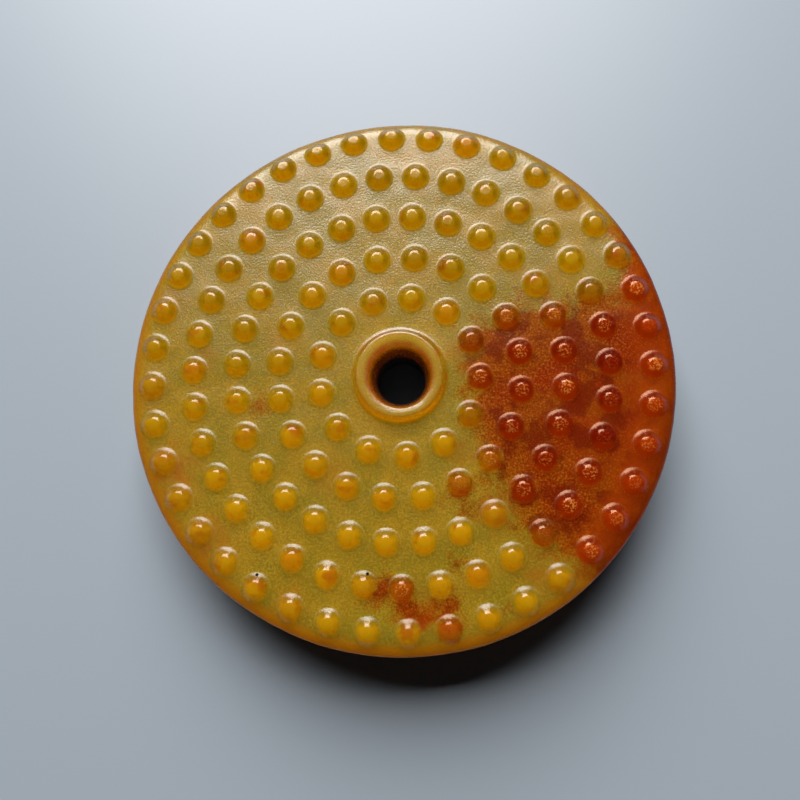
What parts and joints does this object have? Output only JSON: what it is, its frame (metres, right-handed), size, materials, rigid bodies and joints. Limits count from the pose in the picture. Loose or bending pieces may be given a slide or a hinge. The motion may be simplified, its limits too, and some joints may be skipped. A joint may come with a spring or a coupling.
{
  "type": "jade bi disc",
  "caption": "Thick round jade disc with a central bore, a rounded collar and concentric rings of raised studs on one face, plain on the other.",
  "frame": {"origin": "centre of the underside, on the axis of the bore, at the height of the surface the disc lies on", "axes": "+Z along the bore axis, out of the studded face; +X and +Y in the plane of the disc"},
  "size_m": [0.0664, 0.0664, 0.0121],
  "materials": {
    "jade": "polished"
  },
  "bodies": {
    "root": {"jade_disc": "jade"}
  },
  "joints": []
}
